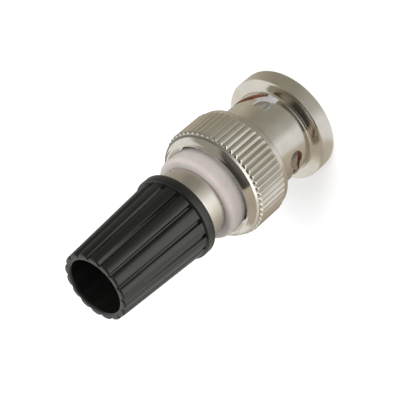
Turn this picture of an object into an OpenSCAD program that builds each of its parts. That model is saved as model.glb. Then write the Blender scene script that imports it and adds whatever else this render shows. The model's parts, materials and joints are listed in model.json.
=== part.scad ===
// Bayonet coaxial cable plug with a screw-on strain relief cap.
// It stands on the rim of its coupling nut. The mouth of the nut is at z = 0 and the
// cable leaves upwards, along +Z. Lengths are in millimetres.

/* [Coupling nut] */
// Number of knurl ribs
knurl_count = 56; // [40:4:72]
// How far a rib stands out of the root between ribs
knurl_depth = 0.24; // [0.15:0.01:0.34]
// Length of the knurled band
knurl_len = 4.7; // [3:0.1:6]
// How far the mouth flange stands out of the waist
flange_rim = 1.5; // [1.1:0.05:2.4]
// Thickness of the mouth flange
flange_t = 2.2; // [1.6:0.05:2.4]
// Radius of the concave fillet behind the flange
flange_fillet = 0.3; // [0.2:0.05:0.5]
// Slope of the flange's rear face
flange_slope = 16; // [8:1:22]
// Wall of the plain waist that holds the slots
waist_wall = 0.65; // [0.6:0.01:0.8]
// Room between the contact sleeve and the nut's bore for the mating shell
shell_room = 0.85; // [0.8:0.01:0.95]
// Thickness of the lip inside the nut that the spring pushes on
nut_lip_t = 0.9; // [0.6:0.05:1.4]
// Depth of the recess in the rear of the nut
nut_recess_d = 0.95; // [0.7:0.05:1.4]
// Gap round the collar in the nut's rear recess
collar_gap = 0.38; // [0.3:0.02:0.5]
// Wall of the nut from its rear recess to the tops of the knurl ribs
nut_wall = 1.27; // [1.1:0.01:1.8]

/* [Bayonet slots] */
// Number of slots, one for each stud of the mating shell
slot_count = 2; // [2:1:2]
// Direction of the first slot where the stud enters
slot_angle = -53; // [-180:1:180]
// Width of the channel that a stud runs in
slot_w = 2.15; // [2.05:0.05:2.4]
// Depth of the stud entry behind the mouth
slot_entry_z = 5.3; // [4.8:0.1:6.5]
// How far the slot turns from the entry to the end hole
slot_turn = 93; // [85:1:100]
// Depth behind the mouth at which the ramp starts
ramp_start_z = 2.9; // [2.6:0.1:3.6]
// Depth behind the mouth of the end hole's centre
stud_hole_z = 5.5; // [5.2:0.1:5.9]
// Radius of the end hole that the stud snaps into
stud_hole_r = 1.12; // [1.06:0.02:1.3]
// Width of the ramp where it breaks through the waist
ramp_open_w = 1.25; // [0.8:0.05:1.8]
// Thickness of the waist wall left over the ramp beside that opening
ramp_skin = 0.2; // [0.12:0.02:0.3]

/* [Mating interface] */
// Depth from the end hole's centre to the face of the gasket
stud_reach = 5; // [4.8:0.05:5.3]
// Outer radius of the slotted contact sleeve
sleeve_r = 4.05; // [4:0.01:4.1]
// Wall of the contact sleeve
sleeve_wall = 0.68; // [0.5:0.02:0.75]
// Reach of the sleeve in front of the gasket
sleeve_reach = 8.4; // [8:0.1:8.8]
// Number of saw cuts in the sleeve
finger_cuts = 4; // [4:2:8]
// Width of one saw cut
finger_cut_w = 0.36; // [0.25:0.01:0.5]
// Length of the saw cuts
finger_len = 6.8; // [5:0.1:7.6]
// Radius of the centre pin
pin_r = 0.675; // [0.66:0.005:0.69]
// How much the pin widens in the insulator's base
pin_root_step = 0.175; // [0.16:0.005:0.2]
// How far the insulator lies behind the tip of the sleeve
insulator_setback = 2.2; // [0.4:0.1:2.6]
// Wall of the insulator's front tube
insulator_wall = 0.86; // [0.6:0.02:1]
// Depth of the insulator's front tube
insulator_depth = 4.8; // [4:0.1:5.6]
// Gap from the front of the insulator to the tip of the pin
pin_setback = 0.1; // [0.05:0.05:0.4]
// Thickness of the mouth gasket
gasket_t = 0.8; // [0.6:0.05:1]

/* [Plug body] */
// Thickness of the flange that the spring pushes against
body_flange_t = 1.1; // [0.8:0.05:1.5]
// Wall of the neck round the sleeve's root
neck_wall = 0.15; // [0.12:0.01:0.3]
// Wall of the neck behind the sleeve
body_wall = 0.6; // [0.5:0.01:0.7]
// Depth of the seat for the contact sleeve
sleeve_seat = 1.7; // [1.2:0.1:2.2]
// Wall of the sleeve's thin root in its seat
root_wall = 0.33; // [0.28:0.01:0.4]
// Length of the thread behind the collar
tail_thread_len = 1.8; // [1.4:0.1:2.1]

/* [Nut spring] */
// Thickness of each thrust washer
washer_t = 0.25; // [0.2:0.01:0.35]
// Height of the wave spring as fitted
spring_h = 0.9; // [0.8:0.05:1.2]
// Thickness of the spring strip
spring_t = 0.2; // [0.15:0.01:0.25]
// Number of waves in the spring
spring_waves = 4; // [4:2:6]
// Thickness of the snap ring
snap_t = 0.5; // [0.4:0.05:0.6]
// Depth of the groove that holds the snap ring
snap_groove = 0.25; // [0.15:0.01:0.3]
// How far the snap ring stands out of the neck
snap_width = 0.75; // [0.6:0.05:1]
// Width of the gap in the snap ring
snap_gap = 1.6; // [1:0.1:3]

/* [Collar and ferrule] */
// How far the plastic insulating collar stands out of the ferrule
collar_step = 1.03; // [0.8:0.01:1.1]
// Length of the insulating collar
collar_len = 2.6; // [2:0.1:3.4]
// Radius on the collar's outer rear corner
collar_round = 0.55; // [0.3:0.05:0.9]
// Wall of the ferrule round the body's neck
ferrule_wall = 0.72; // [0.65:0.01:0.9]
// Length of the ferrule's visible band
ferrule_len = 2.85; // [2.7:0.05:3.6]
// Wall between the ferrule's counterbore and its rear thread
ferrule_step = 0.65; // [0.5:0.05:0.8]
// Wall of the ferrule's rear thread
thread_wall = 1.3; // [1.2:0.02:1.4]
// Length of the ferrule's rear thread
thread_len = 3.95; // [3:0.05:4.4]

/* [Cable clamp] */
// Thickness of the rear insulating bead
bead_t = 1.8; // [1.4:0.1:2]
// Radius of the centre contact's solder barrel
barrel_r = 1; // [0.9:0.02:1.1]
// Wall of the solder cup in the barrel
cup_wall = 0.5; // [0.4:0.02:0.6]
// Thickness of the shoulder on the centre contact
pin_shoulder_t = 0.4; // [0.3:0.05:0.5]
// How far that shoulder stands out of the barrel
pin_shoulder_step = 0.35; // [0.25:0.05:0.6]
// Length of the braid clamp
clamp_len = 1.6; // [1.2:0.1:1.8]
// Gap between the barrel and the braid clamp's narrow mouth
clamp_gap = 0.6; // [0.5:0.05:0.8]
// Length of the clamp gasket
clamp_gasket_len = 1.6; // [1.2:0.1:1.8]
// Wall of the clamp gasket
gasket_wall = 0.45; // [0.35:0.05:0.6]

/* [Strain relief cap] */
// Wall of the cap from its thread to the smooth flange
cap_wall = 1.35; // [1.3:0.01:1.6]
// Length of the cap's smooth flange
cap_flange_len = 1.35; // [1:0.05:2]
// How far the flange stands out of the ribs beside it
cap_flange_step = 0.18; // [0.1:0.01:0.22]
// Wall of the cap over the ribs at the cable end
cap_end_wall = 0.9; // [0.8:0.02:1.1]
// Length of the cap
cap_len = 14.65; // [12:0.05:20]
// Number of ribs along the cap
rib_count = 16; // [12:2:20]
// Radius of one rounded rib
rib_r = 1.15; // [1:0.05:1.4]
// Direction of the first rib
rib_angle = 8.75; // [0:0.25:22.5]
// Depth of the core below the rib tops at the cable end
core_drop = 0.27; // [0.2:0.01:0.32]
// Step from the cap's thread to its cable hole
cap_bore_step = 0.55; // [0.4:0.01:0.7]
// Depth of the slip washer's seat behind the thread
cap_seat = 0.7; // [0.6:0.05:1]
// Thickness of the slip washer in the cap
cap_washer_t = 0.5; // [0.4:0.05:0.55]
// How far the slip washer reaches into the cap's cable hole
cap_washer_reach = 0.2; // [0.16:0.02:0.4]

/* [Fits] */
// Running clearance between turning or sliding pieces
running = 0.05; // [0.02:0.01:0.09]
// Assembly clearance between pieces that stay together
seat = 0.01; // [0.01:0.005:0.03]
// Clearance around loose rings and washers
loose = 0.1; // [0.08:0.01:0.15]

/* [Hidden] */
$fn = 96;
nickel = "#b4aea4";
gold = "#c9a24a";
silver = "#d8d9d6";
steel = "#8f9092";

// Stack along the axis, from the mouth to the cable end
gasket_z = stud_hole_z + stud_reach;
body_z = gasket_z + gasket_t;
washer_z = body_z + body_flange_t;
spring_z = washer_z + washer_t;
rear_washer_z = spring_z + spring_h;
lip_z = rear_washer_z + washer_t;
snap_z = lip_z + nut_lip_t;
nut_len = snap_z + nut_recess_d;
collar_z = snap_z + snap_t;
ferrule_z = collar_z + collar_len;
thread_z = ferrule_z + ferrule_len;
thread_end_z = thread_z + thread_len;
cap_z = thread_z;
cap_end_z = cap_z + cap_len;
cap_seat_z = thread_end_z + cap_seat;
tail_end_z = ferrule_z + tail_thread_len;
ferrule_floor_z = thread_z - ferrule_step;

// Stack of the pieces inside the body
sleeve_tip_z = gasket_z - sleeve_reach;
insulator_z = sleeve_tip_z + insulator_setback;
insulator_floor_z = insulator_z + insulator_depth;
seat_z = body_z + sleeve_seat;
pin_tip_z = insulator_z + pin_setback;
bead_z = seat_z + pin_shoulder_t;
clamp_z = bead_z + bead_t;
clamp_gasket_z = clamp_z + clamp_len;
clamp_washer_z = clamp_gasket_z + clamp_gasket_len;

// Radii from the contact sleeve outwards to the nut
sleeve_bore_r = sleeve_r - sleeve_wall;
root_r = sleeve_bore_r + root_wall;
neck_r = root_r + neck_wall;
nut_bore_r = sleeve_r + shell_room;
waist_r = nut_bore_r + waist_wall;
flange_r = waist_r + flange_rim;
body_flange_r = nut_bore_r - running;
lip_r = neck_r + running;
ring_r = nut_bore_r - loose;
snap_r = neck_r + snap_width;

// Radii of the ferrule, the collar and the nut's rear end
ferrule_r = neck_r + ferrule_wall;
collar_r = ferrule_r + collar_step;
nut_recess_r = collar_r + collar_gap;
knurl_r = nut_recess_r + nut_wall;

// Radii of the bores and of what lies in them
insulator_r = sleeve_bore_r - seat;
insulator_bore_r = insulator_r - insulator_wall;
pin_root_r = pin_r + pin_root_step;
pin_shoulder_r = barrel_r + pin_shoulder_step;
cup_r = barrel_r - cup_wall;
tail_bore_r = neck_r - body_wall;
cable_r = tail_bore_r - gasket_wall;
clamp_r = tail_bore_r - seat;
clamp_mouth_r = barrel_r + clamp_gap;

// Radii of the rear thread and the cap
thread_r = cable_r + thread_wall;
thread_bore_r = thread_r + running;
cap_flange_r = thread_bore_r + cap_wall;
cap_big_r = cap_flange_r - cap_flange_step;
cap_bore_r = thread_bore_r - cap_bore_step;
cap_small_r = cap_bore_r + cap_end_wall;

// Reliefs that keep the contact walls clear of the faces behind them
sleeve_relief = 0.1;
pin_relief = 0.2;
pin_relief_d = 0.175;
pin_tip_round = 0.4;

// Knurled band of the nut
nut_rear_round = 1.2;
nut_front_round = 0.45;
nut_shoulder_len = 0.9;
rear_rim_w = 0.3;
rear_drop = 0.02;
rear_sweep = 62;
shoulder_ease = 0.25;

// Small edges, corners and bevels
thin_edge = 0.1;
edge = 0.15;
corner = 0.2;
bevel = 0.3;

// Saw cuts of the sleeve and details of what lies behind it
first_cut = 45;
cup_slot_w = 0.7;
clamp_lead = 0.4;
clamp_taper = 1;
gasket_grip = 0.2;
thread_relief_d = 0.35;
thread_relief_len = 0.4;

// Roundings of the cap, and its core's depth beside the flange
cap_lip = 0.28;
cap_rim = 0.5;
cap_rim_rise = 0.25;
core_start = 0.28;

// Outline of the knurl
shoulder_r = knurl_r - knurl_depth;
knurl_end_z = nut_len - nut_rear_round;
knurl_z = knurl_end_z - knurl_len;

// Thickness of a stud channel over the waist wall
channel_r = waist_r - ramp_skin;
entry_r = waist_r + 0.05;
ramp_parts = 3;

// Points round the section of one knurl rib, how sharp its crest is and how far its ends slope
rib_points = 8;
rib_power = 1.2;
rib_end = 0.25;

// Points of a quarter arc in the section plane, from one angle to another
function arc(centre, radius, from, to, count = 6) = [
    for (i = [0 : count])
        let (turn = from + (to - from) * i / count)
            [centre[0] + radius * cos(turn), centre[1] + radius * sin(turn)]
];

// Depth of the ramp's middle line at a share of its turn, eased into the end hole
function ramp_z(share) = ramp_start_z + (stud_hole_z - ramp_start_z) * sin(90 * share);

module turned(points) {
    rotate_extrude() polygon(points);
}

module tube(outer_r, inner_r, low_z, high_z) {
    translate([0, 0, low_z]) difference() {
        cylinder(r = outer_r, h = high_z - low_z);
        translate([0, 0, -1]) cylinder(r = inner_r, h = high_z - low_z + 2);
    }
}

// A round bar that points outwards from the axis
module radial_bar(radius, turn, z, length) {
    rotate([0, 0, turn]) translate([0, 0, z]) rotate([0, 90, 0]) cylinder(r = radius, h = length, $fn = 32);
}

module nut_outline() {
    slope_rise = (flange_rim - edge - flange_fillet * (1 - sin(flange_slope))) * tan(flange_slope);
    fillet_z = flange_t + slope_rise + flange_fillet * cos(flange_slope);
    shoulder_z = knurl_z - nut_shoulder_len;
    turned(concat(
        [[0, 0], [flange_r - corner, 0], [flange_r, corner], [flange_r, flange_t - edge], [flange_r - edge, flange_t]],
        arc([waist_r + flange_fillet, fillet_z], flange_fillet, 270 - flange_slope, 180),
        [[waist_r, shoulder_z - shoulder_ease]],
        [[waist_r + shoulder_ease, shoulder_z]],
        arc([shoulder_r - nut_front_round, shoulder_z + nut_front_round], nut_front_round, 270, 360, 4),
        arc([shoulder_r - rear_drop - nut_rear_round, knurl_end_z], nut_rear_round, 0, rear_sweep, 5),
        [[nut_recess_r + rear_rim_w, nut_len], [0, nut_len]]
    ));
}

// Section of the knurl: rounded ribs with narrow valleys between them
function knurl_section() = [
    for (i = [0 : knurl_count * rib_points - 1])
        let (turn = 360 * i / (knurl_count * rib_points), wave = abs(cos(knurl_count * turn / 2)))
            (knurl_r - knurl_depth * (1 - pow(wave, rib_power))) * [cos(turn), sin(turn)]
];

module knurl_ribs() {
    intersection() {
        translate([0, 0, knurl_z]) linear_extrude(knurl_len) polygon(knurl_section());
        turned([
            [0, knurl_z], [shoulder_r - edge, knurl_z], [knurl_r + edge, knurl_z + rib_end],
            [knurl_r + edge, knurl_end_z - rib_end], [shoulder_r - edge, knurl_end_z], [0, knurl_end_z]
        ]);
    }
}

// One stretch of the ramp, drawn flat and cut straight in towards the axis
module ramp_cut(turn, from, to, width) {
    middle = (from + to) / 2;
    steps = 4;
    function place(i) = from + (to - from) * i / steps;
    function across(i) = waist_r * sin(slot_turn * (place(i) - middle));
    rotate([0, 0, turn + slot_turn * middle]) rotate([90, 0, 90]) linear_extrude(waist_r * 2)
        polygon(concat(
            [for (i = [0 : steps]) [across(i), ramp_z(place(i)) - width / 2]],
            [for (i = [steps : -1 : 0]) [across(i), ramp_z(place(i)) + width / 2]]
        ));
}

// Room for one stud: the straight entry, the ramp and the end hole
module stud_slot(turn) {
    intersection() {
        rotate([0, 0, turn]) translate([0, -slot_w / 2, -1]) cube([waist_r * 2, slot_w, slot_entry_z + 1]);
        translate([0, 0, -2]) cylinder(r = entry_r, h = slot_entry_z + 4);
    }
    for (i = [0 : ramp_parts - 1]) {
        intersection() {
            ramp_cut(turn, i / ramp_parts, (i + 1) / ramp_parts, slot_w);
            cylinder(r = channel_r, h = snap_z);
        }
        intersection() {
            ramp_cut(turn, i / ramp_parts, (i + 1) / ramp_parts, ramp_open_w);
            cylinder(r = entry_r, h = snap_z);
        }
    }
    radial_bar(stud_hole_r, turn + slot_turn, stud_hole_z, waist_r * 2);
}

module coupling_nut() {
    color(nickel) difference() {
        union() {
            nut_outline();
            knurl_ribs();
        }
        turned([
            [0, -1], [nut_bore_r + bevel, -1], [nut_bore_r + bevel, 0], [nut_bore_r, bevel], [nut_bore_r, lip_z],
            [lip_r, lip_z], [lip_r, snap_z], [nut_recess_r, snap_z], [nut_recess_r, nut_len + 1], [0, nut_len + 1]
        ]);
        for (i = [0 : slot_count - 1]) stud_slot(slot_angle + i * 360 / slot_count);
    }
}

module plug_body() {
    color(nickel) difference() {
        turned([
            [0, body_z], [body_flange_r - edge, body_z], [body_flange_r, body_z + edge],
            [body_flange_r, washer_z], [neck_r, washer_z], [neck_r, tail_end_z - edge],
            [neck_r - edge, tail_end_z], [0, tail_end_z]
        ]);
        turned([
            [0, body_z - 1], [root_r + seat, body_z - 1], [root_r + seat, seat_z], [tail_bore_r, seat_z],
            [tail_bore_r, tail_end_z + 1], [0, tail_end_z + 1]
        ]);
        tube(neck_r + 1, neck_r - snap_groove, snap_z, snap_z + snap_t);
    }
}

module contact_sleeve() {
    color(silver) difference() {
        turned([
            [sleeve_bore_r, sleeve_tip_z + edge], [sleeve_bore_r + edge, sleeve_tip_z],
            [sleeve_r - edge, sleeve_tip_z], [sleeve_r, sleeve_tip_z + edge], [sleeve_r, gasket_z - sleeve_relief],
            [root_r, gasket_z - sleeve_relief], [root_r, seat_z], [sleeve_bore_r, seat_z]
        ]);
        for (i = [0 : finger_cuts - 1])
            rotate([0, 0, first_cut + i * 360 / finger_cuts]) translate([0, -finger_cut_w / 2, sleeve_tip_z - 1])
                cube([sleeve_r * 2, finger_cut_w, finger_len + 1]);
    }
}

module mouth_gasket() {
    color("#b5452a") tube(ring_r, root_r + running, gasket_z, body_z);
}

module front_insulator() {
    color("#efe9dc") difference() {
        translate([0, 0, insulator_z]) cylinder(r = insulator_r, h = seat_z - insulator_z);
        translate([0, 0, insulator_z - 1]) cylinder(r = insulator_bore_r, h = insulator_depth + 1);
        translate([0, 0, insulator_z]) cylinder(r = pin_root_r + seat, h = seat_z);
    }
}

module centre_pin() {
    color(gold) difference() {
        turned(concat(
            [[0, pin_tip_z]],
            arc([pin_r - pin_tip_round, pin_tip_z + pin_tip_round], pin_tip_round, 270, 360),
            [[pin_r, insulator_floor_z - pin_relief], [pin_r - pin_relief_d, insulator_floor_z - pin_relief],
             [pin_r - pin_relief_d, insulator_floor_z], [pin_root_r, insulator_floor_z], [pin_root_r, seat_z],
             [pin_shoulder_r, seat_z], [pin_shoulder_r, bead_z], [barrel_r, bead_z], [barrel_r, clamp_gasket_z],
             [0, clamp_gasket_z]]
        ));
        translate([0, 0, bead_z + bead_t / 2]) cylinder(r = cup_r, h = bead_t + clamp_len);
        translate([0, -cup_slot_w / 2, clamp_z]) cube([barrel_r * 2, cup_slot_w, clamp_len + 1]);
    }
}

module rear_bead() {
    color("#efe9dc") tube(clamp_r, barrel_r + seat, bead_z, clamp_z);
}

module front_thrust_washer() {
    color(steel) tube(ring_r, neck_r + loose, washer_z, spring_z);
}

// A flat strip ring cut from a tube, waved between two washers
module wave_spring() {
    swing = (spring_h - spring_t) / 2;
    mid = spring_z + spring_h / 2;
    segments = spring_waves * 8;
    color(steel) intersection() {
        tube(ring_r, neck_r + loose, spring_z, rear_washer_z);
        for (i = [0 : segments - 1]) {
            from = i * 360 / segments;
            low = mid + swing * cos(from * spring_waves);
            high = mid + swing * cos((from + 360 / segments) * spring_waves);
            across = 2 * ring_r * tan(180 / segments);
            tilt = atan((high - low) / across);
            rotate([0, 0, from + 180 / segments]) translate([0, 0, (low + high) / 2]) rotate([tilt, 0, 0])
                translate([0, -across, -spring_t / 2]) intersection() {
                    translate([0, across / 2 - 0.02, -spring_h]) cube([ring_r + 1, across + 0.04, spring_h * 2]);
                    cube([ring_r + 1, across * 2, spring_t]);
                }
        }
    }
}

module rear_thrust_washer() {
    color(steel) tube(ring_r, neck_r + loose, rear_washer_z, lip_z);
}

module snap_ring() {
    color(steel) difference() {
        tube(snap_r, neck_r - snap_groove + seat, snap_z, collar_z);
        translate([0, -snap_gap / 2, snap_z - 1]) cube([snap_r * 2, snap_gap, snap_t + 2]);
    }
}

module insulating_collar() {
    color("#d9c6c6") turned(concat(
        [[neck_r + seat, collar_z], [collar_r - edge, collar_z], [collar_r, collar_z + edge]],
        arc([collar_r - collar_round, ferrule_z - collar_round], collar_round, 0, 90),
        [[neck_r + seat, ferrule_z]]
    ));
}

module rear_ferrule() {
    color(nickel) difference() {
        turned([
            [0, ferrule_z], [ferrule_r - thin_edge, ferrule_z], [ferrule_r, ferrule_z + thin_edge],
            [ferrule_r, thread_z - thin_edge], [ferrule_r - thin_edge, thread_z], [thread_r - thread_relief_d, thread_z],
            [thread_r - thread_relief_d, thread_z + thread_relief_len],
            [thread_r, thread_z + thread_relief_len + corner], [thread_r, thread_end_z - bevel],
            [thread_r - bevel, thread_end_z], [0, thread_end_z]
        ]);
        turned([
            [0, ferrule_z - 1], [neck_r + seat, ferrule_z - 1], [neck_r + seat, ferrule_floor_z],
            [cable_r, ferrule_floor_z], [cable_r, thread_end_z - bevel], [cable_r + bevel, thread_end_z],
            [cable_r + bevel, thread_end_z + 1], [0, thread_end_z + 1]
        ]);
    }
}

module braid_clamp() {
    color(nickel) turned([
        [clamp_mouth_r, clamp_z + corner], [clamp_mouth_r + clamp_lead, clamp_z], [clamp_r, clamp_z],
        [clamp_r, clamp_gasket_z], [cable_r - loose, clamp_gasket_z], [clamp_mouth_r, clamp_gasket_z - clamp_taper]
    ]);
}

module clamp_gasket() {
    color("#3a3a3c") turned([
        [cable_r, clamp_gasket_z], [clamp_r, clamp_gasket_z], [clamp_r, clamp_washer_z],
        [cable_r, clamp_washer_z], [cable_r - gasket_grip, (clamp_gasket_z + clamp_washer_z) / 2]
    ]);
}

module clamp_washer() {
    color(nickel) tube(clamp_r, cable_r, clamp_washer_z, ferrule_floor_z);
}

module cap_slip_washer() {
    color("#5a5650")
        tube(thread_r, cap_bore_r - cap_washer_reach, cap_seat_z - running - cap_washer_t, cap_seat_z - running);
}

// Tapered core with the ribs round it, before the bore is cut
module cap_ribs() {
    rise = cap_end_z - cap_z;
    tilt = atan((cap_big_r - cap_small_r) / rise);
    for (i = [0 : rib_count - 1])
        rotate([0, 0, rib_angle + i * 360 / rib_count]) translate([cap_big_r - rib_r, 0, cap_z])
            rotate([0, -tilt, 0]) translate([0, 0, -1]) cylinder(r = rib_r, h = rise + 2, $fn = 32);
}

module strain_relief_cap() {
    pocket_z = cap_z + cap_flange_len;
    rim_z = cap_end_z - cap_rim;
    core_r = cap_small_r - core_drop;
    color("#39393a") difference() {
        union() {
            intersection() {
                cap_ribs();
                turned(concat(
                    [[0, cap_z + cap_rim], [cap_flange_r, cap_z + cap_rim], [cap_flange_r, pocket_z]],
                    arc([cap_small_r - cap_rim_rise, rim_z], cap_rim, 25, 90),
                    [[0, cap_end_z]]
                ));
            }
            turned(concat(
                [[0, cap_z]],
                arc([cap_flange_r - bevel, cap_z + bevel], bevel, 270, 360),
                arc([cap_flange_r - corner, pocket_z - corner], corner, 0, 90),
                [[cap_big_r - core_start, pocket_z], [core_r, cap_end_z - bevel], [core_r - corner, cap_end_z],
                 [0, cap_end_z]]
            ));
        }
        turned(concat(
            [[0, cap_z - 1], [thread_bore_r + bevel, cap_z - 1], [thread_bore_r + bevel, cap_z],
             [thread_bore_r, cap_z + bevel], [thread_bore_r, cap_seat_z], [cap_bore_r, cap_seat_z],
             [cap_bore_r, cap_end_z - cap_lip]],
            arc([cap_bore_r + cap_lip, cap_end_z - cap_lip], cap_lip, 180, 90),
            [[cap_bore_r + cap_lip, cap_end_z + 1], [0, cap_end_z + 1]]
        ));
    }
}

coupling_nut();
plug_body();
contact_sleeve();
mouth_gasket();
front_insulator();
centre_pin();
rear_bead();
front_thrust_washer();
wave_spring();
rear_thrust_washer();
snap_ring();
insulating_collar();
rear_ferrule();
braid_clamp();
clamp_gasket();
clamp_washer();
cap_slip_washer();
strain_relief_cap();
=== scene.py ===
import json
import math
import bmesh
import bpy
import numpy as np
from mathutils import Matrix, Vector


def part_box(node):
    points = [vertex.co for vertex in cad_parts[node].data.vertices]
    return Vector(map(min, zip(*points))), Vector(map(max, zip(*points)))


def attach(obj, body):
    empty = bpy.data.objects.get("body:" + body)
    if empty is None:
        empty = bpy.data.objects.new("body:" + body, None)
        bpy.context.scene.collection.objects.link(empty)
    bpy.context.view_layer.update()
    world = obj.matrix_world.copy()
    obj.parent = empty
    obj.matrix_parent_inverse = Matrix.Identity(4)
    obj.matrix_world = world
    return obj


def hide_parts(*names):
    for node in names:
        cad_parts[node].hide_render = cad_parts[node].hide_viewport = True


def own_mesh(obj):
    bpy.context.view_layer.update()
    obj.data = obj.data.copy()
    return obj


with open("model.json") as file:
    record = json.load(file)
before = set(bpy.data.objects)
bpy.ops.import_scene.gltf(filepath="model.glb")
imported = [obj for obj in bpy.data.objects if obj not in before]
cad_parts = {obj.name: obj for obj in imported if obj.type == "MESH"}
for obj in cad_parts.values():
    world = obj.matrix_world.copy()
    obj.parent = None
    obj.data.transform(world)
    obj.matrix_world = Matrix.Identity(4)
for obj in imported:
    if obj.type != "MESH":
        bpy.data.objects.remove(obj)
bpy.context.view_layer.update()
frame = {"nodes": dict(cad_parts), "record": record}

mm = 0.001
print("frame loaded:", len(frame["nodes"]), "nodes")


# camera, fitted to the rims that the photo shows: the mouth's centre lies 200 mm away
cameraView = {
    "distance": 200.0,       # mm from the lens to the mouth's plane, along the view
    "axisTurn": 41.08,       # degrees, the axis above the picture's horizontal
    "axisTip": 33.14,        # degrees, the mouth end tips away from the lens
    "mouthPixel": (287.0, 120.2),
    "pixelsPerMm": 8.184,    # at the mouth
    "frame": 400,            # pixels
}


def placeCamera(view):
    # the part's axes are written in the picture's right, down and forward directions
    turn, tip = math.radians(view["axisTurn"]), math.radians(view["axisTip"])
    toMouth = Vector((math.cos(turn) * math.cos(tip), -math.sin(turn) * math.cos(tip), math.sin(tip)))
    xAxis = Vector((-math.sin(turn), -math.cos(turn), 0.0))
    zAxis = -toMouth
    yAxis = zAxis.cross(xAxis)
    focal = view["pixelsPerMm"] * view["distance"]
    half = view["frame"] / 2
    mouth = Vector(((view["mouthPixel"][0] - half) / focal, (view["mouthPixel"][1] - half) / focal, 1.0))
    mouth *= view["distance"]
    data = bpy.data.cameras.new("camera")
    data.sensor_width = 36.0
    data.lens = focal / view["frame"] * data.sensor_width
    data.clip_start, data.clip_end = 0.01, 10.0
    camera = bpy.data.objects.new("camera", data)
    rows = [(axis.x, -axis.y, -axis.z, -mouth.dot(axis) * mm) for axis in (xAxis, yAxis, zAxis)]
    camera.matrix_world = Matrix(rows + [(0, 0, 0, 1)])
    bpy.context.scene.collection.objects.link(camera)
    bpy.context.scene.camera = camera


placeCamera(cameraView)
bpy.context.scene.view_settings.view_transform = "Standard"
print("camera placed")


# shader helper: an expression on sockets adds its Math nodes
class Wire:
    def __init__(self, tree, socket):
        self.tree, self.socket = tree, socket

    def math(self, operation, *values):
        return addNode(self.tree, "ShaderNodeMath", {"operation": operation}, dict(enumerate(values)))

    def __add__(self, other): return self.math("ADD", self, other)
    def __radd__(self, other): return self.math("ADD", other, self)
    def __sub__(self, other): return self.math("SUBTRACT", self, other)
    def __rsub__(self, other): return self.math("SUBTRACT", other, self)
    def __mul__(self, other): return self.math("MULTIPLY", self, other)
    def __rmul__(self, other): return self.math("MULTIPLY", other, self)
    def __truediv__(self, other): return self.math("DIVIDE", self, other)
    def __pow__(self, other): return self.math("POWER", self, other)

    def part(self, index):
        return addNode(self.tree, "ShaderNodeSeparateXYZ", {}, {0: self}, index)


def addNode(tree, kind, settings, inputs, output=0):
    # settings come first, then values or links go to the sockets by name or number
    node = tree.nodes.new(kind)
    stops = settings.pop("stops", None)
    for name, value in settings.items():
        setattr(node, name, value)
    if stops:
        ramp = node.color_ramp.elements
        ramp[0].position, ramp[1].position = stops[0][0], stops[-1][0]
        ramp[0].color, ramp[1].color = (*stops[0][1], 1.0), (*stops[-1][1], 1.0)
        for place, colour in stops[1:-1]:
            ramp.new(place).color = (*colour, 1.0)
    for name, value in inputs.items():
        socket = node.inputs[name]
        if isinstance(value, Wire):
            tree.links.new(value.socket, socket)
        else:
            socket.default_value = value
    return Wire(tree, node.outputs[output])


def mixColours(tree, factor, first, second, blend="MIX"):
    node = tree.nodes.new("ShaderNodeMix")
    node.data_type, node.blend_type = "RGBA", blend
    for socket, value in ((node.inputs[0], factor), (node.inputs[6], first), (node.inputs[7], second)):
        if isinstance(value, Wire):
            tree.links.new(value.socket, socket)
        else:
            socket.default_value = value if socket is node.inputs[0] else (*value, 1.0)
    return Wire(tree, node.outputs[2])


def newMaterial(name, settings):
    # the bsdf's uniform values are set on its own sockets
    material = bpy.data.materials.new(name)
    material.use_nodes = True
    tree = material.node_tree
    bsdf = tree.nodes["Principled BSDF"]
    for socket, value in settings.items():
        bsdf.inputs[socket].default_value = (*value, 1.0) if isinstance(value, tuple) else value
    place = addNode(tree, "ShaderNodeTexCoord", {}, {}, 3)
    return material, tree, bsdf, place


def feed(tree, bsdf, links):
    for name, wire in links.items():
        tree.links.new(wire.socket, bsdf.inputs[name])


def noise(tree, place, scale, detail=2.0, stretch=(1, 1, 1)):
    vector = addNode(tree, "ShaderNodeMapping", {}, {0: place, 3: Vector(stretch)})
    return addNode(tree, "ShaderNodeTexNoise", {}, {"Vector": vector, "Scale": scale, "Detail": detail})


def spread(tree, value, low, high, outLow=0.0, outHigh=1.0):
    return addNode(tree, "ShaderNodeMapRange", {}, {0: value, 1: low, 2: high, 3: outLow, 4: outHigh})


def bumpFrom(tree, height, strength, distance):
    return addNode(tree, "ShaderNodeBump", {}, {"Strength": strength, "Distance": distance, "Height": height})


# the cut colour is painted shade and a painted reflection of the red gasket, laid on the slots' cut walls
nickelLook = {
    "colour": (0.66, 0.635, 0.59), "warm": (0.60, 0.56, 0.50), "cut": (0.38, 0.175, 0.10), "roughness": 0.11,
}
silverLook = {"colour": (0.90, 0.91, 0.88), "warm": (0.85, 0.85, 0.82), "roughness": 0.45}
goldLook = {"colour": (0.90, 0.62, 0.24), "warm": (0.85, 0.55, 0.2), "roughness": 0.18}
steelLook = {"colour": (0.42, 0.42, 0.43), "warm": (0.36, 0.36, 0.38), "roughness": 0.3}
relief = 0.00001         # m, the depth that bump stands for


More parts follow.
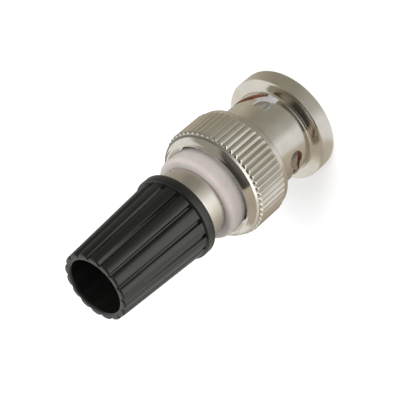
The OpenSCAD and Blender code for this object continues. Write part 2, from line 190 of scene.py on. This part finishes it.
def makeMetal(name, look, lines=0.0, metallic=1.0):
    # plated metal: a faint warm cloud, fine pits and, where turned, fine rings round the axis
    material, tree, bsdf, place = newMaterial(name, {"Metallic": metallic})
    cloud = noise(tree, place, 380.0, 3.0)
    grain = noise(tree, place, 4200.0, 2.0)
    colour = mixColours(tree, spread(tree, cloud, 0.35, 0.7), look["colour"], look["warm"])
    # painted shade and gasket reflection: the slot walls marked in slotWall turn brown and less metallic
    if "cut" in look:
        paintedSlotShade = addNode(tree, "ShaderNodeAttribute", {"attribute_name": "slotWall"}, {}, 2)
        colour = mixColours(tree, paintedSlotShade, colour, look["cut"])
        feed(tree, bsdf, {"Metallic": spread(tree, paintedSlotShade, 0.0, 1.0, 1.0, 0.25)})
    rough = spread(tree, cloud, 0.3, 0.7, look["roughness"] * 0.8, look["roughness"] * 1.3)
    height = grain * 0.5
    if lines:
        rings = noise(tree, place, 700.0, 4.0, (0.05, 0.05, 9.0))
        height = height + rings * lines
        rough = rough + rings * 0.12
    feed(tree, bsdf, {
        "Base Color": colour, "Roughness": rough,
        "Normal": bumpFrom(tree, height, 0.4, relief),
    })
    return material


def makePlastic(name, colour, roughness, texture=0.4, scatter=None, streaks=None):
    # moulded plastic: a faint matt texture, slight change of gloss, streaked along the axis where handled
    material, tree, bsdf, place = newMaterial(name, {})
    if scatter:
        bsdf.inputs["Subsurface Weight"].default_value = scatter["weight"]
        bsdf.inputs["Subsurface Radius"].default_value = scatter["radius"]
        bsdf.inputs["Subsurface Scale"].default_value = scatter["scale"]
    cloud = noise(tree, place, 900.0, 4.0, streaks) if streaks else noise(tree, place, 420.0, 3.0)
    grain = noise(tree, place, 3800.0, 3.0)
    shift = 0.35 if streaks else 0.2
    lighter = tuple(min(1.0, channel * 1.12 + 0.004) for channel in colour)
    feed(tree, bsdf, {
        "Base Color": mixColours(tree, spread(tree, cloud, 0.3, 0.7), colour, lighter),
        "Roughness": spread(tree, cloud + grain * 0.5, 0.45, 1.0,
            roughness * (1 - shift), roughness * (1 + shift)),
        "Normal": bumpFrom(tree, grain, texture, relief),
    })
    return material


finishes = {
    "nickel_plate": makeMetal("nickelPlate", nickelLook),
    "satin_nickel": makeMetal("satinNickel", dict(nickelLook, roughness=0.2), 1.0),
    "silver_plate": makeMetal("silverPlate", silverLook, metallic=0.35),
    "gold_plate": makeMetal("goldPlate", goldLook),
    "spring_steel": makeMetal("springSteel", steelLook),
    "gasket_rubber": makePlastic("gasketRubber", (0.50, 0.12, 0.045), 0.45),
    "black_rubber": makePlastic("blackRubber", (0.02, 0.02, 0.02), 0.6),
    "white_insulator": makePlastic("whiteInsulator", (0.80, 0.78, 0.72), 0.4,
        scatter={"weight": 0.3, "radius": (1.0, 0.8, 0.6), "scale": 0.0005}),
    "collar_plastic": makePlastic("collarPlastic", (0.59, 0.537, 0.51), 0.3, 0.25,
        scatter={"weight": 0.6, "radius": (1.0, 0.55, 0.5), "scale": 0.001}),
    "fibre": makePlastic("fibre", (0.10, 0.075, 0.05), 0.75),
    "black_plastic": makePlastic("blackPlastic", (0.0065, 0.007, 0.006), 0.24, 0.3, streaks=(1, 1, 0.12)),
}
print("finishes made")


# meshes from grids and profiles
def arcPoints(centre, radius, start, end, count=10):
    # a quarter circle or less in the (radius, height) plane
    turn = np.radians(np.linspace(start, end, count + 1))
    return np.stack([centre[0] + radius * np.cos(turn), centre[1] + radius * np.sin(turn)], 1)


def profileOf(*pieces):
    # points and arcs joined into one outline of (radius, height), mm
    return np.concatenate([np.atleast_2d(np.array(piece, float)) for piece in pieces])


def refine(outline, step):
    # points added so that no stretch is longer than step
    closed = np.vstack([outline, outline[:1]])
    parts = []
    for a, b in zip(closed[:-1], closed[1:]):
        count = max(1, int(math.ceil(np.linalg.norm(b - a) / step)))
        share = np.arange(count)[:, None] / count
        parts.append(a + (b - a) * share)
    return np.vstack(parts)


def gridMesh(name, points, body, node, sharp=32, slot=None):
    # points[ring, around, xyz]: rings run round the closed outline, both directions close up
    rings, around = points.shape[:2]
    i, j = np.meshgrid(np.arange(rings), np.arange(around), indexing="ij")
    nextI, nextJ = (i + 1) % rings, (j + 1) % around
    faces = np.stack([i * around + j, i * around + nextJ, nextI * around + nextJ, nextI * around + j], -1)
    mesh = bpy.data.meshes.new(name)
    flat = points.reshape(-1, 3) * mm
    mesh.from_pydata(flat.tolist(), [], faces.reshape(-1, 4).tolist())
    mesh.update()
    return addPiece(name, mesh, body, node, sharp, slot)


def addPiece(name, mesh, body, node, sharp, slot):
    piece = bpy.data.objects.new(name, mesh)
    bpy.context.scene.collection.objects.link(piece)
    mesh.polygons.foreach_set("use_smooth", np.ones(len(mesh.polygons), bool))
    mesh.set_sharp_from_angle(angle=math.radians(sharp))
    if slot:
        mesh.materials.append(finishes[slot])
    if node:
        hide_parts(node)
    if body:
        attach(piece, body)
    return piece


def lathe(outline, segments=160, step=0.4, reach=None):
    # radius and height turned round the axis; segments is a count or the angles themselves
    outline = refine(outline, step)
    turn = np.linspace(0, 2 * np.pi, segments, endpoint=False) if np.isscalar(segments) else segments
    radius, height = outline[:, :1], outline[:, 1:]
    if reach is not None:
        radius = reach(radius, height, turn[None, :])
    ones = np.ones_like(turn)[None, :]
    return np.stack([radius * np.cos(turn), radius * np.sin(turn), height * ones], -1)


# sizes that the looks share with the frame, read from it in mm
def nodeBox(node):
    low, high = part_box(node)
    return np.array(low) / mm, np.array(high) / mm


nutHigh = nodeBox("coupling_nut")[1]
collarLow, collarHigh = nodeBox("insulating_collar")
ferruleLow, ferruleHigh = nodeBox("rear_ferrule")
capLow, capHigh = nodeBox("strain_relief_cap")

nutShape = {
    "flangeRadius": 7.05, "flangeThick": 2.2, "fillet": 0.3, "slope": 16.0, "waist": 5.55, "bore": 4.9,
    "knurl": 7.25, "knurlDepth": 0.24, "ribs": 56, "ribLength": 4.7, "ribEnd": 0.3, "rearRound": 1.2,
    "shoulder": 0.9, "frontRound": 0.45, "recess": 5.98, "lip": 3.9, "recessDepth": 0.95, "lipThick": 0.9,
}
slotShape = {
    "angle": -53.0, "width": 2.15, "entryDepth": 5.3, "turn": 93.0, "rampStart": 2.9,
    "holeDepth": 5.5, "holeRadius": 1.12, "opening": 1.25, "skin": 0.2,
}


def wrapBlock(name, low, high, turn, inner, outer):
    # rows of (angle, height) below and above a channel, wrapped on two radii into one closed block
    count = len(low)
    corners = []
    for row in (low, high):
        angle = np.radians(turn + row[:, 0])
        corners += [np.stack([r * np.cos(angle), r * np.sin(angle), row[:, 1]], 1) for r in (inner, outer)]
    lowIn, lowOut, highIn, highOut = (k * count for k in range(4))
    last = count - 1
    faces = [(lowIn, lowOut, highOut, highIn), (lowIn + last, highIn + last, highOut + last, lowOut + last)]
    for i in range(count - 1):
        for a, b in ((lowIn, lowOut), (lowOut, highOut), (highOut, highIn), (highIn, lowIn)):
            faces.append((a + i, a + i + 1, b + i + 1, b + i))
    return cutterOf(name, np.vstack(corners), faces)


def wrapDisc(name, rim, centre, turn, inner, outer):
    # a round outline of (angle, height) with its centre, closed by fans on two radii
    count = len(rim)
    rows = np.vstack([rim, centre])
    angle = np.radians(turn + rows[:, 0])
    corners = [np.stack([r * np.cos(angle), r * np.sin(angle), rows[:, 1]], 1) for r in (inner, outer)]
    faces = []
    for i in range(count):
        j, top = (i + 1) % count, count + 1
        faces += [(i, j, top + j, top + i), (j, i, count), (top + i, top + j, top + count)]
    return cutterOf(name, np.vstack(corners), faces)


def cutterOf(name, points, faces):
    mesh = bpy.data.meshes.new(name)
    mesh.from_pydata((points * mm).tolist(), [], faces)
    mesh.update()
    work = bmesh.new()
    work.from_mesh(mesh)
    bmesh.ops.recalc_face_normals(work, faces=work.faces[:])
    bmesh.ops.triangulate(work, faces=work.faces[:])
    work.to_mesh(mesh)
    work.free()
    cutter = bpy.data.objects.new(name, mesh)
    bpy.context.scene.collection.objects.link(cutter)
    return cutter


def rampRows(shape, width):
    # the ramp's middle line eases into the end hole; half the width goes to each side
    share = np.linspace(0, 1, 25)
    middle = shape["rampStart"] + (shape["holeDepth"] - shape["rampStart"]) * np.sin(share * np.pi / 2)
    angle = share * shape["turn"]
    return np.stack([angle, middle - width / 2], 1), np.stack([angle, middle + width / 2], 1)


def holeRim(shape, radius):
    # the round end hole as an outline of (angle, height) on the waist
    turn = np.linspace(0, 2 * np.pi, 40, endpoint=False)
    across = np.degrees(np.arcsin(shape["holeRadius"] * np.cos(turn) / radius))
    return np.stack([shape["turn"] + across, shape["holeDepth"] + shape["holeRadius"] * np.sin(turn)], 1)


def carve(piece, cutters):
    for cutter in cutters:
        step = piece.modifiers.new("cut", "BOOLEAN")
        step.operation, step.solver, step.object = "DIFFERENCE", "EXACT", cutter
    bpy.context.view_layer.update()
    carved = bpy.data.meshes.new_from_object(piece.evaluated_get(bpy.context.evaluated_depsgraph_get()))
    piece.modifiers.clear()
    old = piece.data
    piece.data = carved
    bpy.data.meshes.remove(old)
    for cutter in cutters:
        bpy.data.objects.remove(cutter)


def makeNut(shape, slots):
    top = nutHigh[2]
    ribTop, ribFoot = top - shape["rearRound"], top - shape["rearRound"] - shape["ribLength"]
    shoulderFoot = ribFoot - shape["shoulder"]
    root = shape["knurl"] - shape["knurlDepth"]
    lipTop = top - shape["recessDepth"]
    lipFoot = lipTop - shape["lipThick"]
    waist, fillet = shape["waist"], shape["fillet"]
    flange, thick = shape["flangeRadius"], shape["flangeThick"]
    frontRound = shape["frontRound"]
    # the flange's rear face slopes down outwards and runs into the waist by the fillet
    slope = math.radians(shape["slope"])
    rise = (flange - 0.15 - waist - fillet * (1 - math.sin(slope))) * math.tan(slope)
    filletTop = thick + rise + fillet * math.cos(slope)
    outer = profileOf(
        [(shape["bore"] + 0.25, 0), (flange - 0.2, 0)],
        arcPoints((flange - 0.2, 0.2), 0.2, -80, 0, 4),
        [(flange, thick - 0.12)],
        arcPoints((flange - 0.12, thick - 0.12), 0.12, 10, 90 - shape["slope"], 3),
        arcPoints((waist + fillet, filletTop), fillet, 270 - shape["slope"], 180, 8),
        [(waist, shoulderFoot - 0.35)],
        arcPoints((waist + 0.3, shoulderFoot - 0.3), 0.3, 170, 90, 4),
        arcPoints((root - frontRound, shoulderFoot + frontRound), frontRound, 270, 360, 8),
        [(root, ribFoot + share * shape["ribEnd"]) for share in (0, 0.2, 0.5, 1)],
        [(root, ribTop - share * shape["ribEnd"]) for share in (1, 0.6, 0.3, 0.1)],
        arcPoints((root - shape["rearRound"], ribTop), shape["rearRound"], 0, 62, 14),
        [(shape["recess"] + 0.30, top - 0.05), (shape["recess"] + 0.24, top), (shape["recess"], top)],
        [(shape["recess"], lipTop), (shape["lip"], lipTop)],
        [(shape["lip"], lipFoot), (shape["bore"], lipFoot)],
        [(shape["bore"], 0.3)])

    def ribs(radius, height, turn):
        # rib tops stand out of the root over the knurled band, with rounded ends
        outside = (radius > root - 0.01) & (height > ribFoot) & (height < ribTop)
        end = np.clip(np.minimum(height - ribFoot, ribTop - height) / shape["ribEnd"], 0, 1)
        rise = np.sqrt(np.maximum(1 - (1 - end) ** 2, 0))
        wave = np.abs(np.cos(shape["ribs"] * turn / 2)) ** 1.2
        return radius + np.where(outside, rise * shape["knurlDepth"] * wave, 0.0)

    points = lathe(outer, shape["ribs"] * 10, 0.4, ribs)
    nut = gridMesh("couplingNut", points, "nut", "coupling_nut", 30, "nickel_plate")
    cutters = []
    half = math.degrees(math.asin(slots["width"] / 2 / waist))
    across = np.linspace(-half, half, 5)
    for number, turn in enumerate((slots["angle"], slots["angle"] + 180)):
        low, high = (np.stack([across, np.full(5, height)], 1) for height in (-1.0, slots["entryDepth"]))
        cutters.append(wrapBlock("entry%d" % number, low, high, turn, 4.5, waist + 0.015))
        low, high = rampRows(slots, slots["width"])
        cutters.append(wrapBlock("ramp%d" % number, low, high, turn, 4.5, waist - slots["skin"]))
        low, high = rampRows(slots, slots["opening"])
        cutters.append(wrapBlock("gap%d" % number, low, high, turn, 4.5, waist + 0.05))
        centre = (slots["turn"], slots["holeDepth"])
        cutters.append(wrapDisc("hole%d" % number, holeRim(slots, waist), centre, turn, 4.5, waist + 0.9))
    carve(nut, cutters)
    markCuts(nut.data, shape, slots)
    nut.data.polygons.foreach_set("use_smooth", np.ones(len(nut.data.polygons), bool))
    nut.data.set_sharp_from_angle(angle=math.radians(30))
    return nut


def markCuts(mesh, shape, slots):
    # faces inside the wall that look along it, not outwards, are the slots' cut walls, which take the painted
    # brown shade and painted gasket reflection; the entries' own walls keep the plain nickel
    count = len(mesh.polygons)
    centre, normal = np.empty(count * 3), np.empty(count * 3)
    mesh.polygons.foreach_get("center", centre)
    mesh.polygons.foreach_get("normal", normal)
    centre, normal = centre.reshape(-1, 3) / mm, normal.reshape(-1, 3)
    radius = np.hypot(centre[:, 0], centre[:, 1])
    outward = np.abs((centre[:, :2] * normal[:, :2]).sum(1)) / radius
    height, edge = centre[:, 2], 0.01
    inWall = (radius > shape["bore"] + edge) & (radius < shape["waist"] - edge)
    inWall &= (height > 0.4) & (height < 8)
    fromEntry = (np.degrees(np.arctan2(centre[:, 1], centre[:, 0])) - slots["angle"] + 90) % 180 - 90
    inEntry = np.abs(fromEntry) < math.degrees(slots["width"] / 2 / shape["bore"])
    cut = mesh.attributes.new("slotWall", "FLOAT", "FACE")
    cut.data.foreach_set("value", (inWall & (outward < 0.5) & ~inEntry).astype(np.float32))


nut = makeNut(nutShape, slotShape)
print("coupling nut made:", len(nut.data.polygons), "faces")

collarShape = {"rearRound": 0.55, "edge": 0.15, "bore": 3.86}


def makeCollar(shape):
    low, high, radius = collarLow[2], collarHigh[2], collarHigh[0]
    outline = profileOf(
        [(shape["bore"], low), (radius - shape["edge"], low)],
        arcPoints((radius - shape["edge"], low + shape["edge"]), shape["edge"], -80, 0, 4),
        arcPoints((radius - shape["rearRound"], high - shape["rearRound"]), shape["rearRound"], 0, 90, 10),
        [(shape["bore"], high)])
    gridMesh("insulatingCollar", lathe(outline), "root", "insulating_collar", 40, "collar_plastic")


makeCollar(collarShape)

ferruleShape = {
    "thread": 4.1, "bandLength": 2.85, "bore": 2.8, "counterbore": 3.86, "step": 0.65,
    "pitch": 0.75, "threadDepth": 0.28, "relief": 0.4,
}


def makeFerrule(shape):
    low, high, radius = ferruleLow[2], ferruleHigh[2], ferruleHigh[0]
    bandTop = low + shape["bandLength"]
    reliefRadius = shape["thread"] - 0.35
    floor = bandTop - shape["step"]
    outline = profileOf(
        [(shape["counterbore"], low), (radius - 0.1, low), (radius, low + 0.1), (radius, bandTop - 0.1)],
        [(radius - 0.1, bandTop), (reliefRadius, bandTop), (reliefRadius, bandTop + shape["relief"])],
        [(shape["thread"], bandTop + 0.6), (shape["thread"], high - 0.3), (shape["thread"] - 0.3, high)],
        [(shape["bore"] + 0.3, high), (shape["bore"], high - 0.3)],
        [(shape["bore"], floor), (shape["counterbore"], floor)])

    def thread(radius, height, turn):
        # a V thread: depth follows the distance to the nearest crest, which climbs one pitch a turn
        phase = (height / shape["pitch"] - turn / (2 * np.pi)) % 1.0
        depth = shape["threadDepth"] * (1 - np.abs(2 * phase - 1))
        cut = (np.abs(radius - shape["thread"]) < 0.02) & (height > bandTop + 0.55) & (height < high - 0.2)
        return radius - np.where(cut, depth, 0.0)

    points = lathe(outline, 192, 0.07, thread)
    gridMesh("rearFerrule", points, "root", "rear_ferrule", 35, "satin_nickel")


makeFerrule(ferruleShape)

capShape = {
    "flangeRadius": 5.5, "flangeLength": 1.35, "bigRadius": 5.32, "smallRadius": 4.5, "lands": 16,
    "landAngle": 8.75, "frontBulge": 3.2, "backBulge": 1.5,
    "grooveHalf": 0.36, "grooveFloor": 0.09, "grooveFront": 0.34, "grooveBack": 0.14,
    "bore": 3.6, "threadBore": 4.15, "seat": 0.7, "threadLength": 3.95, "lip": 0.28,
}


def makeCap(shape):
    low, high = capLow[2], capHigh[2]
    rise = high - low
    seat = low + shape["threadLength"] + shape["seat"]
    ribFoot = low + shape["flangeLength"]
    big, small = shape["bigRadius"], shape["smallRadius"]
    outline = profileOf(
        [(shape["threadBore"] + 0.3, low)],
        arcPoints((shape["flangeRadius"] - 0.3, low + 0.3), 0.3, 270, 360, 8),
        arcPoints((shape["flangeRadius"] - 0.15, ribFoot - 0.15), 0.15, 0, 90, 5),
        [(big + (small - big) * (ribFoot - low + up) / rise, ribFoot + up) for up in (0.03, 0.12, 0.3)],
        [(small + 0.02, high - 0.35)],
        arcPoints((small - 0.2, high - 0.2), 0.2, 8, 90, 6),
        arcPoints((shape["bore"] + shape["lip"], high - shape["lip"]), shape["lip"], 90, 180, 8),
        [(shape["bore"], seat), (shape["threadBore"], seat), (shape["threadBore"], low + 0.3)])

    # angles crowd round the grooves, which lie halfway between the lands' middles
    pitch = 360 / shape["lands"]
    near = np.linspace(-3.2, 3.2, 17)
    flat = np.linspace(3.2, pitch - 3.2, 9)[1:-1]
    one = np.concatenate([near, flat]) + shape["landAngle"] + pitch / 2
    turns = np.radians((one[None, :] + pitch * np.arange(shape["lands"])[:, None]).ravel())

    def lands(radius, height, turn):
        # a land bulges more towards the cable end; a groove falls off smoothly between two lands
        share = np.clip((height - low) / rise, 0, 1)
        off = (np.degrees(turn) - shape["landAngle"] + pitch / 2) % pitch - pitch / 2
        taper = big + (small - big) * share
        bulge = shape["frontBulge"] + (shape["backBulge"] - shape["frontBulge"]) * share
        droop = (np.radians(off) * taper) ** 2 / 2 * (1 / bulge - 1 / taper)
        gap = (pitch / 2 - np.abs(off)) * np.pi / 180 * taper
        ease = np.clip((gap - shape["grooveFloor"]) / (shape["grooveHalf"] - shape["grooveFloor"]), 0, 1)
        depth = shape["grooveFront"] + (shape["grooveBack"] - shape["grooveFront"]) * share
        groove = depth * (1 - ease * ease * (3 - 2 * ease))
        outside = (height > ribFoot + 0.01) & (radius > small - 0.3)
        end = np.clip((height - ribFoot) / 0.1, 0, 1)
        return radius - np.where(outside, (droop + groove) * end, 0.0)

    points = lathe(outline, turns, 0.35, lands)
    gridMesh("reliefCap", points, "cap", "strain_relief_cap", 24, "black_plastic")


makeCap(capShape)

springShape = {"waves": 4, "thick": 0.2, "inner": 3.95}


def makeSpring(shape):
    # a flat strip ring in waves between two washers; the share it would keep under the nut's draw is worked
    # out but not applied
    low, high = nodeBox("wave_spring")
    foot, height, middle = low[2], high[2] - low[2], (low[2] + high[2]) / 2
    outline = profileOf([
        (shape["inner"], middle - shape["thick"] / 2), (high[0], middle - shape["thick"] / 2),
        (high[0], middle + shape["thick"] / 2), (shape["inner"], middle + shape["thick"] / 2)])
    turn = np.linspace(0, 2 * np.pi, 160, endpoint=False)
    points = lathe(outline, turn)
    points[..., 2] += (height - shape["thick"]) / 2 * np.cos(shape["waves"] * turn)
    spring = gridMesh("waveSpring", points, "root", "wave_spring", 40, "spring_steel")
    joints = {joint["name"]: joint for joint in frame["record"]["behaviour"]["joints"]}
    start, end = joints["nut_draw"]["range_m"]
    keep = 1 - (end - start) / (height * mm)
    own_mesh(spring)


makeSpring(springShape)
print("collar, ferrule, cap and spring made")

# the pieces that keep their own solids get a welded, smoothed surface and their finish
slotOf = {row["node"]: row["material_slot"] for row in frame["record"]["subparts"]}
replaced = {"coupling_nut", "insulating_collar", "rear_ferrule", "strain_relief_cap", "wave_spring"}
weldDistance, sharpAngle = 1e-6, math.radians(30)
for name, piece in frame["nodes"].items():
    if name in replaced:
        continue
    piece.data.materials.clear()
    piece.data.materials.append(finishes[slotOf[name]])
    piece.data.polygons.foreach_set("use_smooth", np.ones(len(piece.data.polygons), bool))
    weld = piece.modifiers.new("weld", "WELD")
    weld.merge_threshold = weldDistance
    split = piece.modifiers.new("split", "EDGE_SPLIT")
    split.split_angle = sharpAngle
print("inner pieces dressed")

# what bright metal sees: the paper round the object by direction in degrees, and the room above it
studio = {
    "floorSize": 1.2, "floorGlow": 0.35,
    "key": {"place": (0.10, -0.12, 0.30), "size": 0.16, "power": 0.62},
    "side": {"place": (-0.28, -0.10, 0.12), "size": 0.2, "power": 0.05},
    "worldGrey": 0.55,
    "paper": [
        (-160, (0.48, 0.46, 0.39)), (-90, (0.60, 0.55, 0.45)), (-50, (0.37, 0.345, 0.28)),
        (-20, (0.39, 0.38, 0.32)),
        (10, (0.58, 0.58, 0.53)), (25, (0.95, 0.95, 0.94)), (47, (0.96, 0.96, 0.94)),
        (57, (0.69, 0.63, 0.54)), (110, (0.41, 0.36, 0.29)), (145, (0.33, 0.29, 0.24)),
    ],
    # and the cards beyond the inner paper, which only the cap is high enough to see
    "cardStart": 0.036, "cards": [
        (-150, (0.30, 0.30, 0.27)), (-60, (0.20, 0.20, 0.18)), (-20, (0.35, 0.35, 0.33)),
        (22, (1.9, 1.9, 1.87)),
        (60, (1.9, 1.9, 1.85)), (80, (1.0, 1.0, 0.95)), (150, (0.6, 0.58, 0.52)),
    ],
    "overhead": (0.06, 0.06, 0.054), "cameraSide": (0.17, 0.16, 0.14), "backRoom": (1.0, 0.99, 0.96),
    "leftRoom": (0.40, 0.385, 0.335), "rightRoom": (0.57, 0.51, 0.42),
    "stripRight": (0.43, -0.44), "stripLeft": (-0.6, 0.2),      # slope and start of the dark strip's edges
}


def makeLamp(name, look):
    data = bpy.data.lights.new(name, "AREA")
    data.shape, data.size, data.energy = "SQUARE", look["size"], look["power"]
    lamp = bpy.data.objects.new(name, data)
    lamp.location = look["place"]
    lamp.rotation_euler = (Vector((0, 0, 0.018)) - Vector(look["place"])).to_track_quat("-Z", "Y").to_euler()
    lamp.visible_glossy = False
    bpy.context.scene.collection.objects.link(lamp)


def rayIs(tree, kind):
    return addNode(tree, "ShaderNodeLightPath", {}, {}, kind)


def makeFloor(look):
    mesh = bpy.data.meshes.new("floor")
    half = look["floorSize"] / 2
    corners = [(-half, -half, 0), (half, -half, 0), (half, half, 0), (-half, half, 0)]
    mesh.from_pydata(corners, [], [(0, 1, 2, 3)])
    floor = bpy.data.objects.new("floor", mesh)
    bpy.context.scene.collection.objects.link(floor)
    matt = {"Roughness": 0.9, "Emission Strength": 1.0, "Specular IOR Level": 0.0}
    material, tree, bsdf, place = newMaterial("floorPaint", matt)
    # direction on the floor, counted in degrees from the camera's side towards -X
    across, away = place.part(0) * -1.0, place.part(1) * -1.0
    heading = across.math("ARCTAN2", across, away) * (180 / math.pi)
    rings = []
    for name in ("paper", "cards"):
        stops = [((angle + 180) / 360, colour) for angle, colour in look[name]]
        rings.append(addNode(tree, "ShaderNodeValToRGB", {"stops": stops}, {0: heading / 360 + 0.5}))
    reach, start = (across * across + away * away) ** 0.5, look["cardStart"]
    far = spread(tree, reach, start - mm, start + mm)
    paper = mixColours(tree, far, *rings)
    glossy = rayIs(tree, "Is Glossy Ray")
    glow = mixColours(tree, rayIs(tree, "Is Camera Ray"), (0, 0, 0), (look["floorGlow"],) * 3)
    feed(tree, bsdf, {
        "Base Color": mixColours(tree, glossy, (0.93, 0.93, 0.93), (0.0, 0.0, 0.0)),
        "Emission Color": mixColours(tree, glossy, glow, paper),
    })
    mesh.materials.append(material)


def makeRoom(look):
    world = bpy.data.worlds.new("room")
    bpy.context.scene.world = world
    world.use_nodes = True
    tree = world.node_tree
    aim = addNode(tree, "ShaderNodeTexCoord", {}, {}, 0)
    across, back = aim.part(0), aim.part(1)
    # positive across is the picture's left; that side brightens towards the back
    brightLeft = mixColours(tree, spread(tree, back, 0.05, 0.3), look["leftRoom"], look["backRoom"])
    sides = mixColours(tree, spread(tree, across, -0.1, 0.1), look["rightRoom"], brightLeft)
    # the dark strip above widens towards the camera: its two edges are lines in the ceiling plane
    rightEdge, leftEdge = (back * look[edge][0] + look[edge][1] for edge in ("stripRight", "stripLeft"))
    inside = spread(tree, across - rightEdge, 0.0, 0.04) * spread(tree, leftEdge - across, 0.0, 0.2)
    dark = mixColours(tree, spread(tree, back, -0.9, -0.35), look["cameraSide"], look["overhead"])
    room = mixColours(tree, inside, sides, dark)
    room = mixColours(tree, spread(tree, back, 0.62, 0.72), room, look["backRoom"])
    grey = (look["worldGrey"],) * 3
    colour = mixColours(tree, rayIs(tree, "Is Glossy Ray"), grey, room)
    colour = mixColours(tree, rayIs(tree, "Is Camera Ray"), colour, (1, 1, 1))
    tree.links.new(colour.socket, tree.nodes["Background"].inputs["Color"])


makeFloor(studio)
makeRoom(studio)
makeLamp("keyLamp", studio["key"])
makeLamp("sideLamp", studio["side"])
print("studio made")
